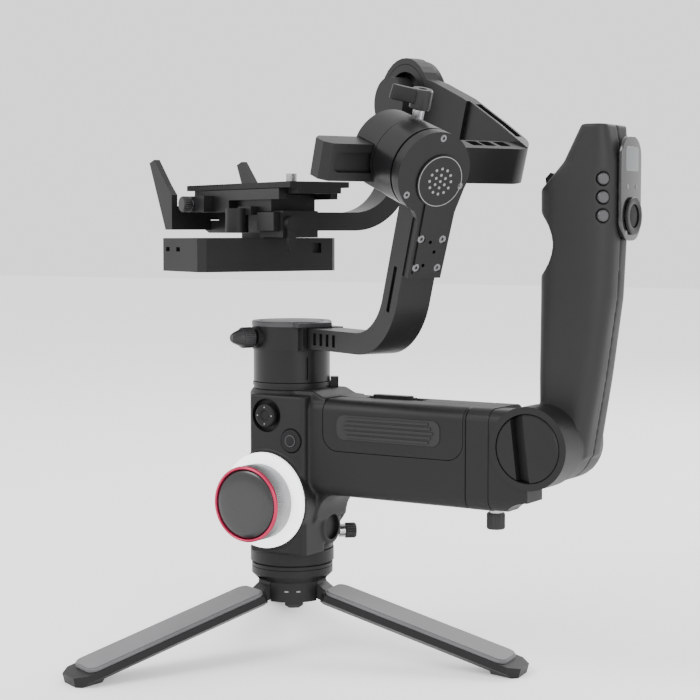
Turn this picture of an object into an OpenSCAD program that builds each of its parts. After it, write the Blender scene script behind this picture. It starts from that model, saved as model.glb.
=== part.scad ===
// Three-axis handheld camera gimbal: control column with a battery grip, sling handle, small tripod,
// and the pan, roll and tilt axes that carry a camera plate.
// Frame: +Z up, the pan axis is Z, the grip runs along +X, the handwheel faces -Y.
// Origin: on the pan axis, at the mouth of the threaded socket in the underside of the tripod hub.

/* [Stand] */
// Height of the hub's underside above the surface that the feet stand on
foot_drop = 29; // [28:0.5:30]
// Angle of an open leg below the horizontal
leg_slope = 15; // [14.5:0.5:16]
// Length of a leg from its pin to the end of its foot
leg_l = 139; // [136:1:142]
// Width of a leg
leg_w = 27; // [26:0.5:27]
// Direction of the first leg, from +X toward +Y
leg_turn = 6.7; // [0:0.1:12]

/* [Column and grip] */
// Radius of the control column
column_r = 25; // [24.5:0.5:25.5]
// Height of the column's top above the hub's underside
column_top = 131; // [130:0.5:132]
// Height of the handwheel's axis
wheel_z = 66; // [65:0.5:67]
// Radius of the lit ring behind the handwheel
light_ring_r = 28.3; // [28:0.1:28.6]
// Radius of the handwheel
wheel_r = 22.2; // [21.5:0.1:22.8]
// Height of the grip's axis
grip_z = 98.5; // [98:0.5:99]
// Height of the grip's section
grip_h = 57; // [56.5:0.5:58]
// Thickness of the grip's section
grip_d = 44; // [43.5:0.5:45]
// Distance from the pan axis to the end of the battery grip
grip_end = 130; // [129:0.5:131]

/* [Sling handle] */
// Distance from the pan axis to the sling handle's pivot
sling_x = 168; // [167.5:0.5:169]
// Height of the sling handle's pivot
sling_z = 107; // [106.5:0.5:107.5]
// Height of the sling handle's top
sling_top = 282; // [280:1:284]

/* [Gimbal axes] */
// Angle that the pan axis stands at, from +X toward -Y
pan_rest = 26; // [0:1:40]
// Radius of the pan motor
pan_r = 23; // [22.5:0.5:23.5]
// Height of the pan arm's centre line
pan_arm_z = 161.5; // [161:0.5:162]
// Radius of the pan arm's bend, on its centre line
pan_bend_r = 36; // [35:1:38]
// Height of the tilt axis
tilt_z = 303; // [302:1:305]
// Angle that the roll axis rises toward the lens
roll_slope = 18; // [17:0.5:19]
// Distance along the roll axis from the tilt axis to the roll motor's rear face
roll_rear = 158; // [157:1:160]
// Radius of the roll motor
roll_r = 22.3; // [22:0.1:22.6]
// Distance from the centre plane to the outside of the roll arm's side
roll_arm_right = 89.5; // [89:0.5:90]
// Distance from the centre plane to the free end of the roll arm
roll_arm_left = 50; // [46:1:52]
// Radius of the tilt motor
tilt_r = 26.5; // [26:0.5:27]

/* [Camera cradle] */
// Depth of the camera plate's top face below the tilt axis
plate_drop = 50; // [50:1:52]
// Length of the camera plate
plate_l = 132; // [128:1:134]
// Width of the camera plate
plate_w = 40; // [40:1:44]
// Width of the module box beneath the cradle
module_w = 95; // [92:1:96]

/* [Hidden] */
$fn = 64;
gap = 0.3; // between pieces that move past each other
fit = 0.05; // radial clearance of a running pin
camera_thread_r = 3.175; // 1/4 inch camera thread
pan_arm_y = [-5.5, 16]; // sides of the pan arm
pan_arm_t = 12; // thickness of its bar
upright_t = 14.4; // thickness of its upright
hub_r = 20.5;
hub_top = 23;
collar_top = 34;
hub_core_r = 8.8;
leg_rho = 15;
leg_z = 12;
leg_pin_r = 1.5;
knuckle_r = 5.4;
knuckle_w = 12;
leg_x0 = 10.4; // where the wide part of a leg begins
leg_top = 0.4; // height of its top face above the pin
wall = 3;
wheel_seat = -29; // y of the face that the lit ring lies on
wheel_back = wheel_seat - 4;
wheel_front = -50;
pad_y = -27; // y of the flat face that carries the joystick
joystick_z = 116;
joystick_pivot = -17;
button_x = 17.5;
button_z = 102;
cell_r = 9.25;
cell_l = 65;
cell_pitch = 18.9;
cover_x0 = 36;
cover_x1 = 128.5;
cover_z = grip_z - 1.5;
cover_hinge_y = -grip_d / 2 - 0.3;
cover_back = -1.5;
sling_front = -2.4; // y of the sling handle's face that meets the adapter
sling_back = 33;
sling_mid = (sling_front + sling_back) / 2;
pivot_r = 22.9;
pivot_pin_r = 5;
knob_r = 18.6;
pod_x = 208;
roll_motor_front = roll_rear - 27;
roll_bar_s = [112, 128];
roll_bar_z = [-13.4, 6.9];
arm_corner_r = 15.5;
plate_screw_y = [-0.75, 12.75];
plate_screw_z = [-36, -52];
rim_screw_a = [84, 219, 340];
lever_s = 120;
lever_y = 9;
motor_in = 80.4; // y of the tilt motor's inner face, from the centre plane
arm_y = [69, 80];
cradle_z = -73; // centre of the tilt arm's level part, from the tilt axis
level_t = arm_y[1] - arm_y[0];
tilt_bend_r = 36;
upright_s = roll_rear - 5.3 - upright_t / 2; // centre of the pan arm's upright along the roll axis
upright_x0 = cos(roll_slope) * upright_s;
upright_z0 = tilt_z - sin(roll_slope) * upright_s;
upright_l = (upright_z0 - pan_arm_z) / cos(roll_slope);
arm_corner_x = upright_x0 - sin(roll_slope) * upright_l;
bend_run = pan_bend_r * tan((90 - roll_slope) / 2);
bend_x = arm_corner_x - bend_run;
leg_angles = [for (i = [0:2]) leg_turn + 120 * i];

black = [0.09, 0.09, 0.1];
charcoal = [0.16, 0.16, 0.17];
grey = [0.45, 0.45, 0.47];
silver = [0.75, 0.76, 0.78];

// ---- helpers ----

// Rectangle with rounded corners, centred
module round_rect(w, d, r) {
    offset(r = r, $fn = 32) square([w - 2 * r, d - 2 * r], center = true);
}

// Plate with rounded vertical edges, centred in x and y, standing on z = 0
module round_plate(w, d, h, r) {
    linear_extrude(h) round_rect(w, d, r);
}

// Cylinder with a chamfer at its far end
module tipped_cylinder(r, h, chamfer) {
    cylinder(r = r, h = h - chamfer);
    translate([0, 0, h - chamfer]) cylinder(r1 = r, r2 = r - chamfer, h = chamfer);
}

// Ring standing on z = 0
module ring(r_out, r_in, h) {
    difference() {
        cylinder(r = r_out, h = h);
        translate([0, 0, -1]) cylinder(r = r_in, h = h + 2);
    }
}

// Points of an arc round a centre, whose radius may grow along it
function arc(centre, r, a0, a1, grow = 0, n = 24) =
    [for (i = [0:n]) let (a = a0 + (a1 - a0) * i / n) centre + (r + grow * i / n) * [cos(a), sin(a)]];

// Turns a piece so that its z axis points to -Y, from the plane y
module to_front(x, y, z) {
    translate([x, y, z]) rotate([90, 0, 0]) children();
}

// Turns a piece so that its z axis points to +X, from the point
module to_right(x, y, z) {
    translate([x, y, z]) rotate([0, 90, 0]) children();
}

// The frame that turns with the pan axis: x to the rear, y to the camera's right
module pan_frame() {
    rotate([0, 0, -pan_rest]) children();
}

// The roll axis's frame: x along the axis to the rear, from the tilt axis
module roll_frame() {
    pan_frame() translate([0, 0, tilt_z]) rotate([0, roll_slope, 0]) children();
}

// The tilt axis's frame: y along the tilt axis, to the camera's right
module tilt_frame() {
    pan_frame() translate([0, 0, tilt_z]) children();
}

// ---- tripod ----

module leg_frame(i) {
    rotate([0, 0, leg_angles[i]]) translate([leg_rho, 0, leg_z]) children();
}

module tripod_hub() {
    color(black) difference() {
        union() {
            cylinder(r1 = hub_r - 2, r2 = hub_r, h = 2);
            translate([0, 0, 2]) cylinder(r = hub_r, h = 13);
            translate([0, 0, 15]) cylinder(r1 = hub_r, r2 = hub_r + 4, h = 4);
            translate([0, 0, 19]) cylinder(r = hub_r + 4, h = hub_top - 19);
        }
        for (i = [0:2]) {
            leg_frame(i) translate([hub_core_r - leg_rho, -knuckle_w / 2 - gap, -leg_z - 1])
                cube([30, knuckle_w + 2 * gap, 19]);
            leg_frame(i) rotate([90, 0, 0]) translate([0, 0, -10]) cylinder(r = leg_pin_r, h = 20);
            // Room for a folded leg under the hub's rim
            rotate([0, 0, leg_angles[i]]) translate([0, 0, -1]) linear_extrude(4.5)
                polygon([[5.8, -6.5], [11, -14.4], [30, -14.4], [30, 14.4], [11, 14.4], [5.8, 6.5]]);
        }
        translate([0, 0, -1]) cylinder(r = camera_thread_r, h = 10);
        translate([0, 0, 11]) cylinder(r = camera_thread_r, h = 20);
    }
}

module hub_stud() {
    color(silver) translate([0, 0, 11.2]) cylinder(r = camera_thread_r - 0.01, h = 19.8);
}

module leg_pins() {
    color(silver) for (i = [0:2])
        leg_frame(i) rotate([90, 0, 0]) translate([0, 0, -9]) cylinder(r = leg_pin_r, h = 18);
}

// Section of a leg: flat on top, upright sides, tapered beneath so that three folded legs close up
module leg_section(w, depth) {
    polygon([[-w / 2, leg_top], [w / 2, leg_top], [w / 2, leg_top - 4], [w / 6, -depth],
        [-w / 6, -depth], [-w / 2, leg_top - 4]]);
}

// A leg in its own frame: the pin at the origin, x along the leg
module leg_body() {
    foot_l = 17;
    difference() {
        union() {
            rotate([90, 0, 0]) translate([0, 0, -knuckle_w / 2]) cylinder(r = knuckle_r, h = knuckle_w);
            translate([0, knuckle_w / 2, 0]) rotate([90, 0, 0]) linear_extrude(knuckle_w)
                polygon([[0, -knuckle_r], [14, -6.6], [14, leg_top], [11, leg_top], [5, 2.6], [0, knuckle_r]]);
            difference() {
                union() {
                    translate([leg_x0, 0, 0]) rotate([90, 0, 90]) linear_extrude(leg_l - 3 - leg_x0)
                        leg_section(leg_w, 8.5);
                    translate([leg_l - foot_l, 0, 0]) rotate([90, 0, 90]) linear_extrude(foot_l)
                        leg_section(leg_w - 1.6, 10.5);
                }
                // Corners are cut back at both ends
                for (side = [-1, 1]) {
                    translate([leg_l, side * leg_w / 2, 0]) rotate([0, 0, 45]) cube([9, 9, 60], center = true);
                    translate([leg_x0, side * leg_w / 2, 0]) rotate([0, 0, 45]) cube([5, 5, 60], center = true);
                }
            }
        }
        rotate([90, 0, 0]) translate([0, 0, -10]) cylinder(r = leg_pin_r + fit, h = 20);
    }
}

module leg_i(i) {
    color(black) difference() {
        leg_frame(i) rotate([0, leg_slope, 0]) leg_body();
        translate([-200, -200, -foot_drop - 20]) cube([400, 400, 20]);
    }
}

// Rubber pad along a leg's top
module leg_pad_i(i) {
    pad_l = leg_l - 9 - leg_x0 - 1;
    color(grey) leg_frame(i) rotate([0, leg_slope, 0]) translate([leg_x0 + 1 + pad_l / 2, 0, leg_top]) {
        round_plate(pad_l, leg_w - 2.4, 1.6, 6);
        translate([0, 0, 1.6]) round_plate(pad_l - 1.6, leg_w - 4, 0.8, 5.2);
    }
}

module leg_1() leg_i(0);
module leg_2() leg_i(1);
module leg_3() leg_i(2);
module leg_pad_1() leg_pad_i(0);
module leg_pad_2() leg_pad_i(1);
module leg_pad_3() leg_pad_i(2);

module base_collar() {
    color(charcoal) difference() {
        union() {
            translate([0, 0, hub_top + 0.3]) cylinder(r = hub_r + 4, h = 2);
            translate([0, 0, hub_top + 2.3]) cylinder(r = hub_r + 2.6, h = 1.2);
            translate([0, 0, hub_top + 3.5]) cylinder(r = column_r + 0.2, h = collar_top - hub_top - 3.5);
        }
        cylinder(r = camera_thread_r, h = 32);
    }
}

// ---- column and grip ----

module column_outline() {
    circle(r = column_r);
    polygon([[-20, -10], [-11.5, pad_y], [25, pad_y], [26.5, pad_y + 2], [26.5, -5], [0, 0]]);
}

// A prism along X with the grip's section, grown by extra on every side
module grip_prism(x0, x1, extra) {
    translate([x0, 0, grip_z]) rotate([90, 0, 90])
        round_plate(grip_d + 2 * extra, grip_h + 2 * extra, x1 - x0, 8 + extra);
}

module body_outer() {
    translate([0, 0, collar_top]) linear_extrude(column_top - collar_top - 3) column_outline();
    translate([0, 0, column_top - 3]) cylinder(r1 = column_r + 0.2, r2 = column_r - 2, h = 3);
    grip_prism(0, grip_end, 0);
    to_front(0, -14, wheel_z) cylinder(r = light_ring_r + 0.6, h = -wheel_seat - 14);
    // Boss round the accessory socket
    to_right(10, 2, 48) tipped_cylinder(11, 17.5, 1.5);
    // Fillet in the corner under the grip
    translate([0, 17, 0]) rotate([90, 0, 0]) linear_extrude(34)
        polygon(concat([[18, 76], [18, 60.3], [26.5, 60.3]], arc([36.5, 60.3], 10, 180, 90), [[36.5, 76]]));
    // Low shoulder between the column's top and the grip
    translate([0, 19, 0]) rotate([90, 0, 0]) linear_extrude(38)
        polygon([[10, 120], [40, 120], [40, 127.2], [34, 127.6], [27, column_top], [10, column_top]]);
}

module body_hollow() {
    translate([0, 0, collar_top + 3]) cylinder(r = column_r - 4, h = column_top - collar_top - 6);
    grip_prism(5, grip_end - 2, -wall);
}

module body_blank() {
    difference() {
        body_outer();
        body_hollow();
        // Seat of the pan stator
        translate([0, 0, column_top - 8]) cylinder(r = 13.8, h = 20);
    }
}

module battery_window(extra) {
    translate([cover_x0 - extra, -40, cover_z - extra])
        cube([cover_x1 - cover_x0 + 2 * extra, 40 + cover_back + extra, 60]);
}

module body_front_shell() {
    color(black) difference() {
        intersection() {
            body_blank();
            translate([-100, -100, 0]) cube([300, 100, 300]);
        }
        battery_window(0);
        // Bore of the handwheel's shaft, and a well behind it
        to_front(0, 0, wheel_z) cylinder(r = 3 + fit, h = 40);
        // Joystick well and its opening
        to_front(0, pad_y + 4, joystick_z) cylinder(r = 10, h = 10);
        to_front(0, pad_y + 10, joystick_z) cylinder(r = 5, h = 10);
        // Mode button well
        to_front(button_x, pad_y + 6, button_z) cylinder(r = 7.3, h = 10);
        // Clearance for the cover's hinge barrels
        for (x = [52, 108]) to_right(x - 0.5, cover_hinge_y, cover_z) cylinder(r = 1.5, h = 9);
        // Accessory socket
        to_right(14, 2, 48) cylinder(r = camera_thread_r, h = 20);
        // Recess in the socket's boss
        to_right(25, 2, 48) cylinder(r = 7.5, h = 5);
    }
}

module body_rear_shell() {
    color(black) difference() {
        intersection() {
            body_blank();
            translate([-100, 0, 0]) cube([300, 100, 300]);
        }
        to_right(14, 2, 48) cylinder(r = camera_thread_r, h = 20);
        to_right(25, 2, 48) cylinder(r = 7.5, h = 5);
        // Bore of the clamping screw beside the socket
        translate([0, 0, 42.5]) rotate([0, 90, 42]) translate([0, 0, 15]) cylinder(r = 2.5 + fit, h = 20);
        // Threaded accessory socket in the side away from the handwheel
        to_front(0, 40, wheel_z) cylinder(r = camera_thread_r, h = 26);
        // Track of the battery latch
        translate([52, 0.6, grip_z + grip_h / 2 - 1.6]) cube([38, 8.8, 5]);
    }
}

module battery_cells() {
    y0 = -9.4;
    color("seagreen") for (at = [[y0, -cell_pitch / 2], [y0, cell_pitch / 2],
            [y0 + cell_pitch * sin(60), 0]])
        to_right(48, at[0], grip_z + at[1]) {
            cylinder(r = cell_r, h = cell_l - 1);
            translate([0, 0, cell_l - 1]) cylinder(r = 3, h = 1);
        }
}

module battery_contacts() {
    color("gold") for (x = [45.5, 48 + cell_l + 0.3])
        translate([x, -16, grip_z - 17]) cube([1.5, 30, 34]);
}

module main_board() {
    color("darkgreen") {
        translate([-15, 8, 42]) cube([30, 1.6, 76]);
        translate([-6, 4.5, 92]) cube([12, 3.5, 12]);
        translate([-11, 5.5, 52]) cube([9, 2.5, 16]);
        translate([3, 5, 60]) cube([7, 3, 7]);
    }
}

module light_ring() {
    color("white") to_front(0, wheel_seat, wheel_z) ring(light_ring_r, 6, 3);
}

module wheel_knob() {
    color(grey) to_front(0, wheel_back, wheel_z) {
        difference() {
            cylinder(r = wheel_r, h = wheel_back - wheel_front - 2.5);
            translate([0, 0, 4]) cylinder(r = 20.4, h = 30);
        }
        translate([0, 0, -20]) cylinder(r = 3, h = 22);
    }
}

module wheel_trim_ring() {
    color("crimson") to_front(0, wheel_front + 2.5, wheel_z) difference() {
        tipped_cylinder(wheel_r, 2, 1);
        translate([0, 0, -1]) cylinder(r = 20.4, h = 5);
    }
}

module wheel_face() {
    color(black) to_front(0, wheel_back - 4, wheel_z) {
        cylinder(r = 20.3, h = 12.2);
        translate([0, 0, 12.2]) cylinder(r1 = 20.3, r2 = 17, h = 0.8);
    }
}

module joystick_gimbal() {
    color(grey) {
        to_front(0, joystick_pivot + 1.2, joystick_z) ring(5.5, 4, 2.4);
        // Trunnions on the other axis
        for (side = [-1, 1])
            to_right(side * 6.4 - 1.2, joystick_pivot, joystick_z) cylinder(r = 0.9, h = 2.4);
    }
}

module joystick_cap() {
    color(charcoal) to_front(0, joystick_pivot, joystick_z) {
        cylinder(r = 1.6, h = 9);
        sphere(r = 2.4);
        // Trunnion in the yoke
        rotate([90, 0, 0]) translate([0, 0, -3.8]) cylinder(r = 0.9, h = 7.6);
        translate([0, 0, 8.6]) cylinder(r1 = 7, r2 = 6.6, h = 2.6);
        translate([0, 0, 11.2]) cylinder(r1 = 6.6, r2 = 4.8, h = 1);
    }
}

module mode_button() {
    color(charcoal) to_front(button_x, pad_y + 4.6, button_z) {
        tipped_cylinder(6.8, 5.8, 0.6);
        translate([0, 0, 5.8]) ring(3.2, 2.4, 0.4);
    }
}

module battery_cover() {
    color(black) {
        difference() {
            grip_prism(cover_x0 + gap, cover_x1 - gap, 0);
            grip_prism(cover_x0 - 5, cover_x1 + 5, -2.4);
            translate([0, cover_back - gap, 0]) cube([200, 60, 200]);
            translate([0, -40, 0]) cube([200, 80, cover_z + gap]);
        }
        for (x = [52, 108]) difference() {
            to_right(x, cover_hinge_y, cover_z) cylinder(r = 0.95, h = 8);
            to_right(x - 1, cover_hinge_y, cover_z) cylinder(r = 0.4, h = 10);
        }
        // Lugs that carry the barrels
        for (x = [52, 108])
            translate([x, cover_hinge_y + 0.35, cover_z + 0.5]) cube([8, 0.6, 1.2]);
    }
}

module grip_pad() {
    pad_l = 68;
    color(charcoal) translate([80, -grip_d / 2, grip_z + 13]) rotate([90, 0, 0]) {
        round_plate(pad_l, 14.4, 0.5, 5);
        for (i = [-2:2])
            translate([0, i * 2.6, 0.5]) round_plate(pad_l - 8 - abs(i) * 3, 1.5, 0.7, 0.7);
    }
}

module battery_latch() {
    color(charcoal) translate([53, 1, grip_z + grip_h / 2 - 1.2]) {
        translate([15, 4, 0]) round_plate(30, 8, 2, 3);
        translate([15, 4, 2]) round_plate(26, 6, 1, 2.5);
    }
}

module port_screw() {
    translate([0, 0, 42.5]) rotate([0, 90, 42]) {
        color(silver) translate([0, 0, 18]) cylinder(r = 2.5, h = 15);
        color(silver) translate([0, 0, 28.5]) cylinder(r = 4, h = 3.8);
        color(black) translate([0, 0, 32.3]) tipped_cylinder(4.7, 6.9, 0.8);
    }
}

// ---- sling handle and its adapter ----

module adapter_housing() {
    cheek_y0 = -grip_d / 2;
    cheek_d = sling_front - 0.6 - cheek_y0;
    color(black) difference() {
        union() {
            grip_prism(grip_end + 0.4, 144, 0);
            translate([136, 0, 0]) intersection() {
                grip_prism(0, 32, -0.4);
                translate([0, cheek_y0, 0]) cube([40, cheek_d, 200]);
            }
            translate([sling_x, cheek_y0 + cheek_d, sling_z]) rotate([90, 0, 0])
                cylinder(r = pivot_r, h = cheek_d + 0.5);
        }
        // Well of the lock knob
        translate([sling_x, -13.6, sling_z]) rotate([90, 0, 0]) cylinder(r = knob_r + 0.5, h = 20);
        translate([sling_x, 5, sling_z]) rotate([90, 0, 0]) cylinder(r = pivot_pin_r + 0.01, h = 40);
        // Room for the sling handle's knuckle
        translate([sling_x, 60, sling_z]) rotate([90, 0, 0])
            cylinder(r = pivot_r + 1.2, h = 60 - sling_front + 0.6);
        // Scoop under the pivot
        translate([168, 30, 57]) rotate([90, 0, 0]) cylinder(r = 20, h = 60);
        // Wiring space
        translate([grip_end - 1, -15, grip_z - 14]) cube([9, 30, 28]);
        // Bore of the adapter's thumbscrew
        translate([138, 0, 57]) cylinder(r = 2.5 + fit, h = 25);
    }
}

module adapter_screw() {
    translate([138, 0, 57.5]) {
        color(black) tipped_cylinder(5.2, 9.2, 0.5);
        color(silver) translate([0, 0, 9.2]) cylinder(r = 4, h = 2.3);
        color(silver) translate([0, 0, 11.5]) cylinder(r = 2.5, h = 10);
    }
}

module sling_pivot_pin() {
    color(silver) translate([sling_x, 29, sling_z]) rotate([90, 0, 0]) {
        cylinder(r = pivot_pin_r, h = 29 + 13.5);
        translate([0, 0, -2]) cylinder(r = 8, h = 2);
    }
}

module sling_lock_knob() {
    color(charcoal) translate([sling_x, -13.8, sling_z]) rotate([90, -7, 0]) difference() {
        tipped_cylinder(knob_r, 9.4, 0.8);
        translate([-8, -30, 3.6]) cube([7.5, 60, 10]);
    }
}

// Thin slice of the sling handle: x0 to x1 wide, full thickness, at height z
module sling_slice(x0, x1, z, r) {
    translate([(x0 + x1) / 2, sling_mid, z]) linear_extrude(0.1)
        round_rect(x1 - x0, sling_back - sling_front, r);
}

function sling_sections() = [
    [162.5, 190, 100, 10], [161.5, 197.6, 145, 11], [161.5, 203.6, 188, 12],
    [161.5, 205, 218, 12], [161.2, 205, 247, 12], [175, 205, 262, 11], [187, 202, sling_top - 0.1, 6],
];

module sling_solid() {
    s = sling_sections();
    difference() {
        union() {
            for (i = [0:len(s) - 2]) hull() {
                sling_slice(s[i][0], s[i][1], s[i][2], s[i][3]);
                sling_slice(s[i + 1][0], s[i + 1][1], s[i + 1][2], s[i + 1][3]);
            }
            // Knuckle round the pivot
            translate([sling_x, sling_back - 2, sling_z]) rotate([90, 0, 0])
                cylinder(r = pivot_r - 1, h = sling_back - 2 - sling_front);
        }
        // Finger notch under the trigger
        translate([152, 60, 217]) rotate([90, 0, 0]) cylinder(r = 20, h = 80);
        translate([sling_x, 60, sling_z]) rotate([90, 0, 0]) cylinder(r = pivot_pin_r + fit, h = 80);
        // Hollow
        translate([0, sling_back - 3.5, 0]) rotate([90, 0, 0])
            linear_extrude(sling_back - sling_front - 7)
            polygon([[168, 134], [183, 134], [192, 180], [198, 220], [198, 245],
                [188, 268], [182, 255], [180, 217], [170, 192]]);
        // Seat of the pin's head
        translate([sling_x, sling_back + 1, sling_z]) rotate([90, 0, 0]) cylinder(r = 8.4, h = 5.2);
        // Slot of the trigger
        translate([158, sling_mid - 6.5, 243]) cube([22, 13, 13]);
    }
}

module sling_button_bores() {
    for (i = [0:2]) sling_button_place(i) translate([0, 0, 5]) cylinder(r = 3.5, h = 12);
}

// Buttons lie on the rounded edge that faces the user's thumb
module sling_button_place(i) {
    translate([192, 9.5, 252.5 - 9.9 * i]) rotate([90, 0, 45]) children();
}

module sling_front_shell() {
    color(charcoal) difference() {
        intersection() {
            sling_solid();
            translate([100, -50, 0]) cube([150, 50 + sling_mid, 400]);
        }
        sling_button_bores();
    }
}

module sling_rear_shell() {
    color(charcoal) difference() {
        intersection() {
            sling_solid();
            translate([100, sling_mid, 0]) cube([150, 60, 400]);
        }
        sling_button_bores();
    }
}

module sling_button(i) {
    color(grey) sling_button_place(i) translate([0, 0, 7]) tipped_cylinder(3.2, 6.2, 0.6);
}

module sling_button_1() sling_button(0);
module sling_button_2() sling_button(1);
module sling_button_3() sling_button(2);

module sling_trigger() {
    color(black) translate([0, sling_mid + 6, 0]) rotate([90, 0, 0]) linear_extrude(12) difference() {
        polygon([[170, 246], [173, 249], [170.5, 254.5], [165.5, 256.5],
            [162.5, 253.5], [163, 249.5]]);
        translate([170.2, 249]) circle(r = 1);
    }
}

module remote_pod() {
    color(black) translate([0, 22.5, 247.5]) rotate([0, 90, 0]) {
        translate([0, 0, 205.2]) round_plate(57, 27, pod_x - 205.2, 11);
    }
}

module pod_dial() {
    color(charcoal) to_right(pod_x + 0.2, 22.6, 232.6) {
        ring(10.4, 6.6, 1.8);
        cylinder(r = 6.4, h = 0.9);
        cylinder(r = 7, h = 0.5);
    }
}

// ---- pan axis ----

module pan_base_ring() {
    color(black) {
        translate([0, 0, column_top]) difference() {
            union() {
                cylinder(r = column_r - 2, h = 1.6);
                translate([0, 0, 1.6]) cylinder(r = pan_r + 0.4, h = 2);
                rotate([0, 0, 34]) translate([22, -3.5, 0.1]) cube([6, 7, 6]);
            }
            translate([0, 0, -1]) cylinder(r = 14.2, h = 10);
            // The motor turns above the ring
            translate([0, 0, 3.6]) cylinder(r = pan_r + 0.6, h = 5);
        }
    }
}

module pan_stator() {
    color("peru") {
        translate([0, 0, column_top - 5]) cylinder(r = 13.6, h = 10);
        translate([0, 0, column_top + 5]) cylinder(r = 5, h = 19);
        for (i = [0:11]) rotate([0, 0, 30 * i]) translate([6, -2, column_top + 7]) cube([12, 4, 9]);
        translate([0, 0, column_top + 7]) cylinder(r = 9, h = 9);
    }
}

module pan_housing() {
    color(charcoal) pan_frame() difference() {
        translate([0, 0, column_top + 4]) cylinder(r = pan_r, h = 19);
        translate([0, 0, column_top + 3]) cylinder(r = pan_r - 3, h = 17);
        cylinder(r = 5 + fit, h = 170);
        // Vertical groove where the two halves of the cup meet
        rotate([0, 0, -8]) translate([pan_r - 1.2, -1, column_top + 6]) cube([5, 2, 13]);
    }
}

module pan_clamp() {
    bottom = column_top + 23;
    color(black) pan_frame() difference() {
        union() {
            translate([0, 0, bottom]) cylinder(r = pan_r + 0.6, h = 14);
            translate([0, pan_arm_y[0] - 3, bottom]) cube([28, pan_arm_y[1] - pan_arm_y[0] + 6, 14]);
            // Boss of the lock knob
            translate([0, -20, pan_arm_z]) rotate([90, 0, 0]) cylinder(r = 6.4, h = 6);
        }
        // Slot of the pan arm, and room to slide it in
        translate([-18, pan_arm_y[0] - gap, pan_arm_z - pan_arm_t / 2 - gap])
            cube([60, pan_arm_y[1] - pan_arm_y[0] + 2 * gap, pan_arm_t + 2 * gap]);
        translate([0, 0, 100]) cylinder(r = 5.4, h = 56);
        // Bore of the lock knob's screw
        translate([0, 0, pan_arm_z]) rotate([90, 0, 0]) cylinder(r = 2.5 + fit, h = 40);
    }
}

module pan_cap() {
    color(grey) pan_frame() translate([0, 0, column_top + 37]) {
        difference() {
            union() {
                tipped_cylinder(pan_r + 1, 3, 0.6);
                translate([0, -11.5, 0]) cube([27.5, 23, 2.4]);
            }
            translate([0, 0, 2.4]) ring(19, 18.2, 2);
        }
    }
}

module pan_lock_knob() {
    pan_frame() translate([0, pan_arm_y[0] - 7, pan_arm_z]) rotate([90, 0, 0]) {
        color(silver) translate([0, 0, 1]) cylinder(r = 2.5, h = 17);
        color(black) translate([0, 0, 14]) cylinder(r1 = 5, r2 = 6.2, h = 1.5);
        color(black) translate([0, 0, 15.5]) cylinder(r = 6.2, h = 6.5);
        color(black) translate([0, 0, 22]) cylinder(r1 = 5.4, r2 = 2.2, h = 6.5);
    }
}

// Side view of the pan arm, in x and z: the bar, the bend and the thicker upright under the roll motor
function pan_arm_outline() =
    let (h = pan_arm_t / 2, wide = upright_t / 2,
        top = [upright_x0, upright_z0] - 12 * [sin(roll_slope), cos(roll_slope)],
        across = wide * [cos(roll_slope), -sin(roll_slope)],
        centre = [bend_x, pan_arm_z + pan_bend_r])
    concat([[-4, pan_arm_z - h]], arc(centre, pan_bend_r + h, -90, -roll_slope, wide - h),
        [top + across, top - across],
        arc(centre, pan_bend_r - wide, -roll_slope, -90, wide - h), [[-4, pan_arm_z + h]]);

module pan_arm() {
    color(black) pan_frame() difference() {
        translate([0, pan_arm_y[1], 0]) rotate([90, 0, 0]) linear_extrude(pan_arm_y[1] - pan_arm_y[0])
            polygon(pan_arm_outline());
        // Seat under the roll motor
        translate([0, 0, tilt_z]) rotate([0, roll_slope, 0]) to_right(100, 0, 0)
            cylinder(r = roll_r + 0.1, h = 80);
        // Index slots on both sides
        for (i = [0:3], y = pan_arm_y) translate([36 + i * 7, y, pan_arm_z]) cube([3.2, 3, 7], center = true);
        // Long groove in the upright's side
        translate([upright_x0, 0, upright_z0]) rotate([0, roll_slope, 0])
            translate([-1.5, pan_arm_y[0] - 1, -upright_l + bend_run - 6]) cube([3, 2.5, 26]);
        // Light channel along the outside of the bend and bar
        translate([40, 1, pan_arm_z - 10]) cube([bend_x - 48, 8, 6.5]);
    }
}

module roll_motor_housing() {
    color(black) roll_frame() difference() {
        union() {
            to_right(roll_motor_front, 0, 0) cylinder(r = roll_r, h = 18);
            to_right(roll_motor_front + 18, 0, 0) cylinder(r = roll_r - 0.9, h = 1.6);
            to_right(roll_motor_front + 19.6, 0, 0) cylinder(r = roll_r, h = 2.2);
        }
        // Open front, round the rotor's shaft
        to_right(roll_motor_front - 1, 0, 0) cylinder(r = roll_r - 3, h = 17);
        to_right(roll_motor_front, 0, 0) cylinder(r = 5 + fit, h = 21.4);
    }
}

module roll_cover_plate() {
    color(charcoal) roll_frame() translate([roll_rear - 5.2, 0, 0]) difference() {
        union() {
            to_right(0, 0, 0) cylinder(r = roll_r, h = 4.2);
            // Neck that covers the top of the pan arm
            rotate([90, 0, 90]) linear_extrude(4.2)
                polygon([[-4.75, -58], [16.5, -58], [17.7, -21], [21.2, -6.5], [0, 0], [-12, -15],
                    [-4.75, -26]]);
            // Raised keyhole field
            to_right(0, 4, -4) cylinder(r = 14.2, h = 5.2);
            translate([0, -2.5, -55.5]) cube([5.2, 17, 42]);
        }
        for (y = plate_screw_y, z = plate_screw_z) to_right(2, y, z) cylinder(r = 2.3, h = 5);
        for (a = rim_screw_a) rotate([a, 0, 0]) to_right(2, 19, 0) cylinder(r = 2, h = 5);
        // Locating sockets between the screws
        for (at = [[5, -37.5], [8.5, -43], [3, -50.5]]) to_right(2.6, at[0], at[1]) cylinder(r = 1, h = 5);
    }
}

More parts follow.
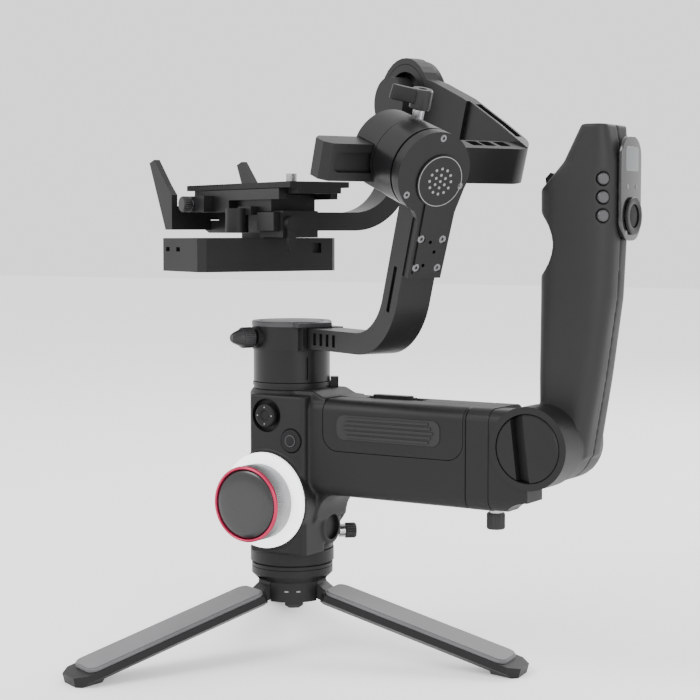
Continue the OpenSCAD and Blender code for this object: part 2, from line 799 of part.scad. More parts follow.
// Hexagon-socket screws that hold the cover plate and the motor's rim
module arm_screws() {
    color(silver) roll_frame() translate([roll_rear - 3.1, 0, 0]) {
        for (y = plate_screw_y, z = plate_screw_z) to_right(0, y, z) screw_head(2.25, 2.4, 1.1);
        for (a = rim_screw_a) rotate([a, 0, 0]) to_right(0, 19, 0) screw_head(1.95, 1.9, 0.9);
    }
}

module screw_head(r, h, socket) {
    difference() {
        cylinder(r = r, h = h);
        translate([0, 0, h - 1]) cylinder(r = socket, h = 2, $fn = 6);
    }
}

// ---- roll axis ----

module roll_rotor() {
    color(black) roll_frame() difference() {
        union() {
            to_right(roll_bar_s[0] - 2.4, 0, 0) cylinder(r = roll_r - 0.3, h = 20.6);
            to_right(roll_bar_s[1] + 2, 0, 0) cylinder(r = roll_r - 4, h = 6);
            to_right(roll_bar_s[1] + 2, 0, 0) cylinder(r = 5, h = 17);
        }
        translate([roll_bar_s[0] - gap, -30, roll_bar_z[0] - gap])
            cube([roll_bar_s[1] - roll_bar_s[0] + 2 * gap, 60, roll_bar_z[1] - roll_bar_z[0] + 2 * gap]);
        // Bore of the clamp lever's stud
        translate([lever_s, lever_y, 0]) cylinder(r = 3.2 + fit, h = 30);
    }
}

module roll_lever() {
    roll_frame() translate([lever_s, lever_y, 0]) {
        color(silver) translate([0, 0, 10]) cylinder(r = 3.2, h = 16);
        color(charcoal) translate([0, 0, 25.4]) cylinder(r = 5.8, h = 11);
        color(charcoal) translate([0, 0, 27.5]) rotate([-8, 0, 0]) difference() {
            translate([-2.4, -20, 0]) cube([4.8, 20, 8]);
            translate([0, 0, -20]) cylinder(r = 5.7, h = 60);
        }
    }
}

// Outline of the roll arm's side, in the roll frame's x and z: a ring round the tilt motor on a tapered arm
module side_arm_outline() {
    polygon(concat([[roll_bar_s[1], roll_bar_z[0]], [roll_bar_s[1], roll_bar_z[1]], [96, 13], [60, 18.8],
        [30, 20.4]], arc([0, 0], 28, 46, 314), [[30, -19], [60, -16]]));
}

// Rounded corner of the roll arm from one angle on, in the roll frame's x and y
function arm_corner(from) =
    arc([roll_bar_s[1] - arm_corner_r, roll_arm_right - arm_corner_r], arm_corner_r, from, 90, 0,
        (90 - from) / 3.75);

module roll_arm() {
    bar_h = roll_bar_z[1] - roll_bar_z[0];
    bar_mid = (roll_bar_z[0] + roll_bar_z[1]) / 2;
    side_from = 33.75; // angle where the side's inner face meets the corner
    side_in = roll_arm_right - arm_corner_r * (1 - sin(side_from)); // y of that face
    color(black) roll_frame() difference() {
        union() {
            // Bar through the roll clamp
            translate([0, 0, roll_bar_z[0]]) linear_extrude(bar_h) polygon(concat(
                [[roll_bar_s[0], 4 - roll_arm_left], [roll_bar_s[0] + 4, -roll_arm_left],
                    [roll_bar_s[1] - 4, -roll_arm_left], [roll_bar_s[1], 4 - roll_arm_left]],
                arm_corner(0), [[roll_bar_s[0], roll_arm_right]]));
            // Side that runs forward to the tilt motor
            intersection() {
                translate([0, roll_arm_right + 1, 0]) rotate([90, 0, 0])
                    linear_extrude(roll_arm_right + 2 - motor_in) side_arm_outline();
                translate([0, 0, -50]) linear_extrude(100) polygon(concat(
                    [[-40, motor_in], [64, motor_in], [64, side_in]], arm_corner(side_from),
                    [[-40, roll_arm_right]]));
            }
        }
        // Bore of the tilt motor
        translate([0, motor_in - 1, 0]) rotate([-90, 0, 0]) cylinder(r = tilt_r - 2.2, h = 30);
        // Recess on the rear face of the free end
        translate([roll_bar_s[1] - 2.2, -27, bar_mid]) rotate([0, 90, 0]) round_plate(11, 34, 5, 4);
        // Open channel along the top of the side
        translate([68, side_in + 1.5, 4]) cube([44, 4, 30]);
        // Windows in the top of the bar
        for (y = [51.2, 60, 70.4])
            translate([roll_bar_s[0] + 6, y, roll_bar_z[1] - 4]) round_plate(9, 7.4, 6, 1.2);
    }
}

module tilt_motor_housing() {
    flange = roll_arm_right - motor_in + 0.2;
    color(charcoal) roll_frame() translate([0, motor_in, 0]) rotate([-90, 0, 0]) difference() {
        union() {
            cylinder(r = tilt_r - 2.5, h = flange + 0.7);
            translate([0, 0, flange]) tipped_cylinder(tilt_r, 6.8, 2);
        }
        translate([0, 0, -1]) cylinder(r = tilt_r - 7, h = flange);
        translate([0, 0, -1]) cylinder(r = 5 + fit, h = flange + 4);
        translate([0, 0, flange + 6]) ring(20, 19, 2);
    }
}

// ---- tilt axis and camera cradle ----

// End view of the tilt arm, in y and z: the level part, the bend and the upright
function tilt_arm_outline() =
    let (t = arm_y[1] - arm_y[0],
        centre = [arm_y[1] - t / 2 - tilt_bend_r, cradle_z + tilt_bend_r])
    concat([[-18, cradle_z - t / 2]], arc(centre, tilt_bend_r + t / 2, -90, 0),
        [[arm_y[1], 0], [arm_y[0], 0]],
        arc(centre, tilt_bend_r - t / 2, 0, -90), [[-18, cradle_z + t / 2]]);

module tilt_arm() {
    color(black) tilt_frame() {
        translate([0, arm_y[0], 0]) rotate([-90, 0, 0]) cylinder(r = 16, h = arm_y[1] - arm_y[0]);
        translate([0, arm_y[0] + 2, 0]) rotate([-90, 0, 0]) cylinder(r = 5, h = 20);
        translate([-10, 0, 0]) rotate([90, 0, 90]) linear_extrude(20) polygon(tilt_arm_outline());
    }
}

module cradle_base() {
    color(black) tilt_frame() difference() {
        union() {
            // Clamp round the tilt arm
            translate([-14, -14, cradle_z - 9.5]) cube([28, 24, 15.7]);
            // Base of the quick release
            translate([-82, -15, -67]) cube([84, 30, 10]);
            translate([-82, -20, -67]) cube([40, 5, 13.2]);
            translate([-83.5, -27, -67]) cube([21.5, 8, 10]);
            // Round boss on the side where the arm's end shows
            translate([-28, -22, cradle_z - 6.5]) cylinder(r = 7, h = 14.5);
            translate([-30, -20, -69]) cube([16, 12, 5]);
            translate([-42, -20, -60]) cube([62, 5, 6.2]);
            translate([-82, 15, -60]) cube([102, 5, 6.2]);
            // Rail that carries the lens support
            translate([-104, 6, cradle_z - 5]) rotate([90, 0, 0]) linear_extrude(12)
                polygon([[0, 1], [3, 6], [22, 6], [24, 11.5], [94, 11.5], [94, -2], [8, -2]]);
        }
        translate([-10 - gap, -40, cradle_z - level_t / 2 - gap])
            cube([20 + 2 * gap, 80, level_t + 2 * gap]);
        // Bore of the plate's lock knob
        translate([-78, -30, -62]) rotate([-90, 0, 0]) cylinder(r = 2 + fit, h = 18);
        // Bore of the clamp lever's pin
        to_right(2, -9.5, cradle_z - 1) cylinder(r = 1.5 + fit, h = 20);
    }
}

module cradle_lever() {
    color(charcoal) tilt_frame() {
        to_right(11, -9.5, cradle_z - 1) cylinder(r = 1.5, h = 8);
        to_right(14.4, -9.5, cradle_z - 1) cylinder(r = 4, h = 4.6);
        translate([14.4, -11.8, cradle_z - 18]) cube([3.6, 4.4, 16]);
    }
}

module camera_plate() {
    x0 = 33 - plate_l;
    color(charcoal) tilt_frame() difference() {
        union() {
            translate([x0, -plate_w / 2, -plate_drop - 3.4]) cube([plate_l, plate_w, 3.4]);
            translate([x0, -14.5, -56.8]) cube([plate_l, 29, 6.8 - 3.4 + 0.1]);
        }
        // Slot of the camera screw, and the channel of its head
        for (x = [-18, 14]) translate([x, 0, -60]) cylinder(r = camera_thread_r + 0.2, h = 20);
        translate([-18, -camera_thread_r - 0.2, -60]) cube([32, 2 * camera_thread_r + 0.4, 20]);
        translate([-28, -9, -58]) cube([52, 18, 4.4]);
        // Grooves that leave grip ridges along the near edge
        for (i = [0:17]) translate([x0 + 4 + i * 3.4, -plate_w / 2 - 1, -plate_drop - 1])
            cube([1.2, 9, 2]);
    }
}

module camera_screw() {
    color(silver) tilt_frame() {
        // Relieved shank in the plate, and the thread that stands above it
        translate([0, 0, -53.9]) cylinder(r = camera_thread_r - 0.3, h = 4.1);
        translate([0, 0, -49.9]) cylinder(r = camera_thread_r, h = 5.4);
        translate([0, 0, -56.4]) cylinder(r = 8, h = 2.6);
    }
}

module plate_knob() {
    tilt_frame() translate([-78, -21.5, -62]) rotate([90, 0, 0]) {
        color(silver) translate([0, 0, -8]) cylinder(r = 2, h = 16);
        color(silver) translate([0, 0, 5.8]) cylinder(r = 3, h = 1.3);
        color(black) translate([0, 0, 7.1]) tipped_cylinder(5, 6, 0.7);
    }
}

module lens_support() {
    color(black) tilt_frame() {
        difference() {
            translate([-102, -34, -78]) cube([9.4, 68, 15]);
            translate([-110, -6 - gap, -80.5]) cube([19, 12 + 2 * gap, 9]);
        }
        for (y = [-30, 34]) translate([0, y, 0]) rotate([90, 0, 0]) linear_extrude(4)
            polygon([[-92.6, -78], [-102, -78], [-125, -35], [-118, -33], [-100, -50], [-92.6, -56]]);
    }
}

module module_box() {
    x0 = -66;
    depth = 54;
    z0 = -103;
    color(black) tilt_frame() difference() {
        union() {
            translate([x0 + depth / 2, 40 - module_w / 2, z0]) linear_extrude(20)
                polygon([for (at = [[-1, -1, 0, 4], [-1, -1, 4, 0], [1, -1, -4, 0], [1, -1, 0, 4],
                        [1, 1, 0, -4], [1, 1, -4, 0], [-1, 1, 4, 0], [-1, 1, 0, -4]])
                    [at[0] * depth / 2 + at[2], at[1] * module_w / 2 + at[3]]]);
            translate([-44, -10, z0 + 19]) cube([28, 20, 4]);
        }
        // Ports on the left side and at the rear
        for (x = [-58, -44]) translate([x, 39 - module_w, z0 + 12]) cube([5, 4, 2.6]);
        // Hollow
        translate([x0 + 6, 46 - module_w, z0 + 2]) cube([depth - 12, module_w - 12, 15.5]);
        translate([x0 + depth - 3, 22, z0 + 11]) cube([4, 6, 6]);
    }
}

// ---- drawing ----

body_front_shell();
body_rear_shell();
battery_cells();
battery_contacts();
main_board();
light_ring();
base_collar();
pan_base_ring();
pan_stator();
adapter_housing();
sling_pivot_pin();
tripod_hub();
hub_stud();
leg_pins();
wheel_knob();
wheel_trim_ring();
wheel_face();
joystick_gimbal();
joystick_cap();
mode_button();
battery_cover();
grip_pad();
battery_latch();
port_screw();
adapter_screw();
sling_lock_knob();
leg_1();
leg_2();
leg_3();
leg_pad_1();
leg_pad_2();
leg_pad_3();
sling_front_shell();
sling_rear_shell();
sling_button_1();
sling_button_2();
sling_button_3();
sling_trigger();
remote_pod();
pod_dial();
pan_housing();
pan_clamp();
pan_cap();
pan_lock_knob();
pan_arm();
roll_motor_housing();
roll_cover_plate();
arm_screws();
roll_rotor();
roll_lever();
roll_arm();
tilt_motor_housing();
tilt_arm();
cradle_base();
cradle_lever();
camera_plate();
camera_screw();
plate_knob();
lens_support();
module_box();
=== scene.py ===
"""Looks of the handheld camera gimbal: materials, detailed pieces, floor, lights and camera."""

from math import atan2, cos, hypot, pi, radians, sin

import bmesh
import bpy
from mathutils import Matrix, Vector


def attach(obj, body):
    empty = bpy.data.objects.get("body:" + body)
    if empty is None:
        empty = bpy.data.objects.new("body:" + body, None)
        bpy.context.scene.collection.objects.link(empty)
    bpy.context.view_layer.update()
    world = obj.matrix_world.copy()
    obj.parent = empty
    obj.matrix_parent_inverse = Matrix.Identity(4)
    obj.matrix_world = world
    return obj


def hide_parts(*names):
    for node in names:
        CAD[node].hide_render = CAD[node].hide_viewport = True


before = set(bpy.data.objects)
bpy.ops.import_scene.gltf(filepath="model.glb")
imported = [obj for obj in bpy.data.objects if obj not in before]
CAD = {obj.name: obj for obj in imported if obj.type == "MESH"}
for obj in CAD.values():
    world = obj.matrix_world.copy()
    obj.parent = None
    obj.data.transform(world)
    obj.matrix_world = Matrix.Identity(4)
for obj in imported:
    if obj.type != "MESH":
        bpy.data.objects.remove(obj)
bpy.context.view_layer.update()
MM = 0.001

# ---- places, as in the CAD model ----


def T(x, y, z):
    return Matrix.Translation((x, y, z))


def R(angle, axis):
    return Matrix.Rotation(radians(angle), 4, axis)


def front(x, y, z):
    """Local z points to -Y."""
    return T(x, y, z) @ R(90, "X")


def right(x, y, z):
    """Local z points to +X."""
    return T(x, y, z) @ R(90, "Y")


PAN = R(-26, "Z")
TILT = PAN @ T(0, 0, 303)
ROLL = TILT @ R(18, "Y")


# ---- materials ----


def new_material(name, color, rough, metal):
    m = bpy.data.materials.new(name)
    m.use_nodes = True
    tree = m.node_tree
    shader = tree.nodes["Principled BSDF"]
    shader.inputs["Base Color"].default_value = (*color, 1)
    shader.inputs["Roughness"].default_value = rough
    shader.inputs["Metallic"].default_value = metal
    return m, tree, shader


def noise(tree, coords, scale, detail=3.0, stretch=None):
    if stretch:
        mapping = tree.nodes.new("ShaderNodeMapping")
        mapping.inputs["Scale"].default_value = stretch
        tree.links.new(coords, mapping.inputs["Vector"])
        coords = mapping.outputs["Vector"]
    n = tree.nodes.new("ShaderNodeTexNoise")
    n.inputs["Scale"].default_value = scale
    n.inputs["Detail"].default_value = detail
    tree.links.new(coords, n.inputs["Vector"])
    return n.outputs["Fac"]


def spread(tree, source, low, high, start=0.3, end=0.7):
    n = tree.nodes.new("ShaderNodeMapRange")
    n.inputs["From Min"].default_value = start
    n.inputs["From Max"].default_value = end
    n.inputs["To Min"].default_value = low
    n.inputs["To Max"].default_value = high
    tree.links.new(source, n.inputs["Value"])
    return n.outputs["Result"]


def ramp(tree, source, stops):
    n = tree.nodes.new("ShaderNodeValToRGB")
    while len(n.color_ramp.elements) < len(stops):
        n.color_ramp.elements.new(0.5)
    for e, (at, color) in zip(n.color_ramp.elements, stops):
        e.position = at
        e.color = (*color, 1)
    tree.links.new(source, n.inputs["Fac"])
    return n.outputs["Color"]


def shade(color, k):
    return tuple(min(1.0, c * k) for c in color)


def finish(name, color, rough, metal=0.0, grain=1300.0, bump=0.12, vary=0.16, depth=0.00012,
           rough_vary=0.05, stretch=None, specular=0.5, coat=0.0, sheen=0.0):
    """Moulded plastic, coated or machined metal: tone drifts slowly, speckled by a fine grain."""
    m, tree, shader = new_material(name, color, rough, metal)
    coords = tree.nodes.new("ShaderNodeTexCoord").outputs["Object"]
    broad = noise(tree, coords, 26.0, 4.0)
    fine = noise(tree, coords, grain, 2.0, stretch)
    tone = tree.nodes.new("ShaderNodeMath")
    tone.operation = "MULTIPLY_ADD"
    tone.inputs[1].default_value = 0.45
    tree.links.new(fine, tone.inputs[0])
    tree.links.new(spread(tree, broad, 0.0, 0.55), tone.inputs[2])
    color_out = ramp(tree, tone.outputs[0],
                     [(0.15, shade(color, 1 - vary)), (0.85, shade(color, 1 + vary))])
    tree.links.new(color_out, shader.inputs["Base Color"])
    tree.links.new(spread(tree, broad, rough - rough_vary, rough + rough_vary), shader.inputs["Roughness"])
    relief = tree.nodes.new("ShaderNodeBump")
    relief.inputs["Strength"].default_value = bump
    relief.inputs["Distance"].default_value = depth
    tree.links.new(fine, relief.inputs["Height"])
    tree.links.new(relief.outputs["Normal"], shader.inputs["Normal"])
    shader.inputs["Specular IOR Level"].default_value = specular
    shader.inputs["Coat Weight"].default_value = coat
    shader.inputs["Coat Roughness"].default_value = 0.12
    shader.inputs["Sheen Weight"].default_value = sheen
    return m


body_black = finish("body_black", (0.0085, 0.0085, 0.009), 0.48, grain=1500, bump=0.22, specular=0.22)
metal_black = finish("metal_black", (0.008, 0.008, 0.0085), 0.38, metal=0.08, grain=1700, bump=0.12,
                     specular=0.25)
soft_black = finish("soft_black", (0.006, 0.006, 0.0065), 0.6, grain=1900, bump=0.3, specular=0.22)
sling_black = finish("sling_black", (0.012, 0.012, 0.0125), 0.5, grain=1200, bump=0.25, specular=0.26)
motor_black = finish("motor_black", (0.006, 0.006, 0.0065), 0.32, metal=0.08, grain=1400, bump=0.08,
                     specular=0.26)
trim_grey = finish("trim_grey", (0.05, 0.05, 0.053), 0.4, metal=0.4, grain=1500, bump=0.1, specular=0.4)
pad_grey = finish("pad_grey", (0.12, 0.12, 0.125), 0.62, grain=1100, bump=0.35, sheen=0.1, specular=0.4)
rib_rubber = finish("rib_rubber", (0.016, 0.016, 0.0165), 0.58, grain=1300, bump=0.3, specular=0.28)
knurl_grey = finish("knurl_grey", (0.27, 0.27, 0.275), 0.38, metal=0.8, grain=900, bump=0.12)
knurl_black = finish("knurl_black", (0.014, 0.014, 0.015), 0.36, metal=0.3, grain=900, bump=0.1, specular=0.4)
face_black = finish("face_black", (0.009, 0.009, 0.010), 0.26, metal=0.1, grain=600, bump=0.03, coat=0.2)
gloss_black = finish("gloss_black", (0.008, 0.008, 0.009), 0.18, grain=500, bump=0.02, coat=0.35)
crimson = finish("crimson", (0.42, 0.02, 0.07), 0.3, metal=0.6, grain=1200, bump=0.05)
steel = finish("steel", (0.40, 0.40, 0.41), 0.28, metal=1.0, grain=900, bump=0.08, stretch=(1, 1, 6))
silver = finish("silver", (0.42, 0.43, 0.45), 0.33, metal=0.9, grain=900, bump=0.08)
screw_grey = finish("screw_grey", (0.16, 0.16, 0.165), 0.34, metal=0.85, grain=900, bump=0.06)
mark_grey = finish("mark_grey", (0.20, 0.20, 0.205), 0.5, grain=900, bump=0.05, vary=0.06)
screen = finish("screen", (0.09, 0.095, 0.10), 0.2, grain=700, bump=0.02, vary=0.08, coat=0.4)
cell_wrap = finish("cell_wrap", (0.03, 0.17, 0.09), 0.35, grain=500, bump=0.04)
brass = finish("brass", (0.66, 0.45, 0.18), 0.3, metal=1.0, grain=900, bump=0.06)
board_green = finish("board_green", (0.02, 0.12, 0.05), 0.45, grain=700, bump=0.1)
copper = finish("copper", (0.55, 0.24, 0.1), 0.38, metal=0.9, grain=2600, bump=0.3, stretch=(1, 1, 8))

glow = finish("glow", (0.90, 0.90, 0.89), 0.42, grain=500, bump=0.02, vary=0.03)
glow_shader = glow.node_tree.nodes["Principled BSDF"]
glow_shader.inputs["Emission Color"].default_value = (1, 0.99, 0.97, 1)
glow_shader.inputs["Emission Strength"].default_value = 1.6
glow_shader.inputs["Subsurface Weight"].default_value = 0.2

# ---- mesh building, in millimetres ----


def revolve(profile, seg=96, closed=False, wave=None):
    """Turns a profile of (radius, height) about z. wave(r, h, angle) gives a point's real radius."""
    bm = bmesh.new()
    poles = {i: bm.verts.new((0, 0, h)) for i, (r, h) in enumerate(profile) if r < 1e-6}
    rows = []
    for k in range(seg):
        a = 2 * pi * k / seg
        row = []
        for i, (r, h) in enumerate(profile):
            rr = wave(r, h, a) if wave else r
            row.append(poles.get(i) or bm.verts.new((rr * cos(a), rr * sin(a), h)))
        rows.append(row)
    count = len(profile)
    pairs = [(i, i + 1) for i in range(count - 1)] + ([(count - 1, 0)] if closed else [])
    for k in range(seg):
        one, two = rows[k], rows[(k + 1) % seg]
        for i, j in pairs:
            loop = []
            for v in (one[i], one[j], two[j], two[i]):
                if v not in loop:
                    loop.append(v)
            if len(loop) > 2:
                bm.faces.new(loop)
    return bm


def ridges(count, depth, low, high):
    """A wave for revolve(): ridges on the points at the widest radius between two heights."""
    def wave(r, h, a):
        return r - depth * (0.5 - 0.5 * cos(count * a)) if low <= h <= high else r
    return wave


def prism(points, z0, z1, bevel=0.0):
    """A flat outline drawn up from z0 to z1, with both rims rounded by the bevel."""
    bm = bmesh.new()
    base = bm.faces.new([bm.verts.new((x, y, z0)) for x, y in points])
    made = bmesh.ops.extrude_face_region(bm, geom=[base])["geom"]
    for v in made:
        if isinstance(v, bmesh.types.BMVert):
            v.co.z = z1
    if bevel:
        rim = [e for e in bm.edges if abs(e.verts[0].co.z - e.verts[1].co.z) < 1e-6]
        bmesh.ops.bevel(bm, geom=rim, offset=bevel, segments=3, profile=0.6, affect="EDGES",
                        clamp_overlap=True)
    return bm


def arc(cx, cy, r, a0, a1, n=12):
    return [(cx + r * cos(radians(a0 + (a1 - a0) * i / n)), cy + r * sin(radians(a0 + (a1 - a0) * i / n)))
            for i in range(n + 1)]


def round_rect(w, d, r, n=8):
    x, y = w / 2 - r, d / 2 - r
    return (arc(x, y, r, 0, 90, n) + arc(-x, y, r, 90, 180, n) + arc(-x, -y, r, 180, 270, n)
            + arc(x, -y, r, 270, 360, n))


def circle(r, n):
    return [(r * cos(2 * pi * i / n), r * sin(2 * pi * i / n)) for i in range(n)]


class Piece:
    """A visible piece put together from several closed parts, each with its own material."""

    def __init__(self, name, body, *replaced, slot=None):
        self.name, self.body, self.replaced, self.slot = name, body, replaced, slot
        self.bm, self.materials = bmesh.new(), []

    def add(self, part, where, material):
        if material not in self.materials:
            self.materials.append(material)
        index = self.materials.index(material)
        bmesh.ops.recalc_face_normals(part, faces=part.faces)
        for f in part.faces:
            f.material_index = index
        part.transform(Matrix.Scale(MM, 4) @ where)
        me = bpy.data.meshes.new("part")
        part.to_mesh(me)
        part.free()
        self.bm.from_mesh(me)
        bpy.data.meshes.remove(me)
        return self

    def done(self, angle=32):
        me = bpy.data.meshes.new(self.name)
        self.bm.to_mesh(me)
        self.bm.free()
        for m in self.materials:
            me.materials.append(m)
        me.polygons.foreach_set("use_smooth", [True] * len(me.polygons))
        me.set_sharp_from_angle(angle=radians(angle))
        return settle(self.name, me, self.body, self.replaced)


def dress(me, material, angle=None):
    """One material all over, with smooth shading that breaks at edges sharper than the angle."""
    me.materials.clear()
    me.materials.append(material)
    me.polygons.foreach_set("use_smooth", [True] * len(me.polygons))
    if angle:
        me.set_sharp_from_angle(angle=radians(angle))
    return me


def settle(name, me, body, replaced):
    o = bpy.data.objects.new(name, me)
    bpy.context.scene.collection.objects.link(o)
    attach(o, body)
    if replaced:
        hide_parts(*replaced)
    return o


def baked(o):
    """The object's mesh with its modifiers applied; the object itself goes."""
    bpy.context.view_layer.update()
    graph = bpy.context.evaluated_depsgraph_get()
    me = bpy.data.meshes.new_from_object(o.evaluated_get(graph))
    bpy.data.objects.remove(o)
    return me


def smoothed(me, voxel, passes, cuts=()):
    """Melts a mesh of overlapping solids into one skin with soft fillets, then cuts crisp openings."""
    o = bpy.data.objects.new("work", me)
    bpy.context.scene.collection.objects.link(o)
    remesh = o.modifiers.new("remesh", "REMESH")
    remesh.mode = "VOXEL"
    remesh.voxel_size = voxel * MM
    smooth = o.modifiers.new("smooth", "SMOOTH")
    smooth.factor = 0.5
    smooth.iterations = passes
    return carved(baked(o), cuts)


def carved(me, tools, operation="DIFFERENCE"):
    """The mesh after an exact boolean with each tool in turn."""
    for cut in tools:
        o = bpy.data.objects.new("work", me)
        tool = bpy.data.objects.new("tool", cut)
        for each in (o, tool):
            bpy.context.scene.collection.objects.link(each)
        boolean = o.modifiers.new("cut", "BOOLEAN")
        boolean.operation = operation
        boolean.solver = "EXACT"
        boolean.object = tool
        me = baked(o)
        bpy.data.objects.remove(tool)
    return me


def solids(*parts):
    """One mesh of several closed parts, each given as (bmesh, place)."""
    bm = bmesh.new()
    for part, where in parts:
        bmesh.ops.recalc_face_normals(part, faces=part.faces)
        part.transform(Matrix.Scale(MM, 4) @ where)
        me = bpy.data.meshes.new("part")
        part.to_mesh(me)
        part.free()
        bm.from_mesh(me)
        bpy.data.meshes.remove(me)
    me = bpy.data.meshes.new("solids")
    bm.to_mesh(me)
    bm.free()
    return me


def block(x0, y0, z0, x1, y1, z1):
    return prism([(x0, y0), (x1, y0), (x1, y1), (x0, y1)], z0, z1)


def disc(r, z0, z1, n=64):
    return prism(circle(r, n), z0, z1)


# ---- CAD nodes that keep their own shape ----


def polish(node, material, width=0.4, angle=28.0, segments=2):
    """Gives a CAD node its finish and eases its sharp edges by a fraction of a millimetre."""
    o = CAD[node]
    o.data.materials.clear()
    o.data.materials.append(material)
    o.data.polygons.foreach_set("use_smooth", [True] * len(o.data.polygons))
    flat = o.modifiers.new("flat", "DECIMATE")
    flat.decimate_type = "DISSOLVE"
    flat.angle_limit = radians(0.8)
    if width:
        edge = o.modifiers.new("edge", "BEVEL")
        edge.width = width * MM
        edge.segments = segments
        edge.limit_method = "ANGLE"
        edge.angle_limit = radians(angle)
        edge.harden_normals = True
        edge.use_clamp_overlap = True
    even = o.modifiers.new("even", "WEIGHTED_NORMAL")
    even.keep_sharp = True
    even.weight = 60


for node, material, width in [
        ("tripod_hub", body_black, 0.4), ("base_collar", body_black, 0.5),
        ("leg_1", body_black, 0.5), ("leg_2", body_black, 0.5), ("leg_3", body_black, 0.5),
        ("leg_pad_1", pad_grey, 0.5), ("leg_pad_2", pad_grey, 0.5), ("leg_pad_3", pad_grey, 0.5),
        ("hub_stud", steel, 0.0), ("leg_pins", steel, 0.0),
        ("battery_latch", body_black, 0.4),
        ("battery_cells", cell_wrap, 0.3), ("battery_contacts", brass, 0.0), ("main_board", board_green, 0.0),
        ("adapter_housing", body_black, 0.8), ("sling_pivot_pin", steel, 0.3),
        ("sling_lock_knob", body_black, 0.5), ("sling_trigger", motor_black, 0.6),
        ("pan_base_ring", metal_black, 0.3), ("pan_stator", copper, 0.0), ("pan_housing", motor_black, 0.3),
        ("pan_clamp", metal_black, 0.5), ("pan_cap", trim_grey, 0.3), ("pan_arm", metal_black, 0.9),
        ("roll_motor_housing", motor_black, 0.4), ("roll_cover_plate", metal_black, 0.4),
        ("arm_screws", screw_grey, 0.15), ("roll_rotor", metal_black, 0.6), ("roll_arm", metal_black, 0.9),
        ("tilt_motor_housing", motor_black, 0.5), ("tilt_arm", metal_black, 0.8),
        ("cradle_base", metal_black, 0.5), ("cradle_lever", metal_black, 0.4),
        ("camera_plate", soft_black, 0.2), ("camera_screw", steel, 0.3),
        ("lens_support", body_black, 0.5), ("module_box", body_black, 0.6),
        ("joystick_gimbal", metal_black, 0.2), ("mode_button", soft_black, 0.3),
        ("sling_button_1", trim_grey, 0.4), ("sling_button_2", trim_grey, 0.4),
        ("sling_button_3", trim_grey, 0.4),
]:
    polish(node, material, width)

# ---- control column and grip ----

WHEEL_Z = 66
KEY = front(17.5, -22.4, 102)
STICK = front(0, -17, 116)
GRIP_Z = 98.5
LID_Z = 97
SOCKET = (25, 2, 48)
SCREW_BORE = T(0, 0, 42.5) @ R(42, "Z") @ R(90, "Y")


def column_parts():
    flat = [(-20, -10), (-11.5, -27), (25, -27), (26.5, -25), (26.5, -5), (0, 0)]
    web = [(18, 40), (18, 75), (45, 75)] + arc(45, 55, 16.5, 90, 180, 10)
    shoulder = [(10, 120), (40, 120), (40, 127.2), (34, 127.6), (27, 131), (10, 131)]
    return solids(
        (prism(circle(25, 96), 34, 128), T(0, 0, 0)),
        (revolve([(0, 127), (25.1, 127), (25.1, 128.2), (23, 131), (0, 131)], 96), T(0, 0, 0)),
        (prism(flat, 34, 128), T(0, 0, 0)),
        (prism(round_rect(57, 44, 8), 0, 130), right(0, 0, GRIP_Z)),
        (disc(28.9, 0, 15, 96), front(0, -14, WHEEL_Z)),
        (revolve([(0, 0), (11, 0), (11, 16), (9.5, 17.5), (0, 17.5)], 64), right(10, *SOCKET[1:])),
        (prism(web, -17, 17), R(90, "X")),
        (prism(shoulder, -19, 19), R(90, "X")),
    )


def lid_outline(extra):
    """The lid's side view, with large lower corners."""
    x0, x1, z0, r = 36.3 - extra, 128.2 + extra, LID_Z + 0.3 - extra, 10 + extra
    return [(x1, 160), (x0, 160)] + arc(x0 + r, z0 + r, r, 180, 270) + arc(x1 - r, z0 + r, r, 270, 360)


def shell(name, node, front_half):
    keep_away = block(-100, 0.08, -50, 300, 100, 300) if front_half else block(-100, -100, -50, 300, 0.0, 300)
    cuts = [solids((keep_away, T(0, 0, 0))),
            solids((disc(21, 37, 125, 96), T(0, 0, 0))),
            solids((prism(round_rect(51, 38, 5), 5, 128), right(0, 0, GRIP_Z))),
            solids((disc(13.8, 123, 143), T(0, 0, 0)))]
    if front_half:
        cuts += [solids((prism(lid_outline(0.3), 1.5, 40), R(90, "X"))),
                 solids((disc(10, 0, 10), front(0, -23, 116)), (disc(7.3, 0, 10), front(17.5, -21, 102)),
                        (disc(3.05, 0, 40), front(0, 0, WHEEL_Z)), (disc(7.5, 0, 6), right(*SOCKET)))]
    else:
        cuts += [solids((block(52, 0.6, 125.4, 90, 9.4, 131), T(0, 0, 0)),
                        (disc(7.5, 0, 6), right(*SOCKET)), (disc(3.175, 0, 26), front(0, 40, WHEEL_Z)),
                        (disc(2.55, 0, 20), SCREW_BORE @ T(0, 0, 15)))]
    me = dress(smoothed(column_parts(), 0.8, 7, cuts), body_black, 38)
    settle(name, me, "handle", (node,))


shell("column_front", "body_front_shell", True)
shell("column_rear", "body_rear_shell", False)

lid_mesh = carved(solids((prism(round_rect(57, 44, 8), 36.3, 128.2), right(0, 0, GRIP_Z))),
                  [solids((prism(round_rect(52.2, 39.2, 5.6), 30, 135), right(0, 0, GRIP_Z)))])
lid_mesh = carved(lid_mesh, [solids((prism(lid_outline(0), 1.8, 40), R(90, "X")))], "INTERSECT")
lid = settle("battery_lid", dress(lid_mesh, body_black, 32), "battery_door", ("battery_cover",))
lid_edge = lid.modifiers.new("edge", "BEVEL")
lid_edge.width = 0.5 * MM
lid_edge.segments = 2
lid_edge.limit_method = "ANGLE"
lid_edge.angle_limit = radians(40)
lid_edge.harden_normals = True

Piece("halo_ring", "handle", "light_ring", slot="white_diffuser").add(
    revolve([(6, 0), (28.3, 0), (28.3, 1.9), (27.9, 2.7), (27.0, 3.0), (6, 3.0)], 128, closed=True),
    front(0, -29, WHEEL_Z), glow).done()

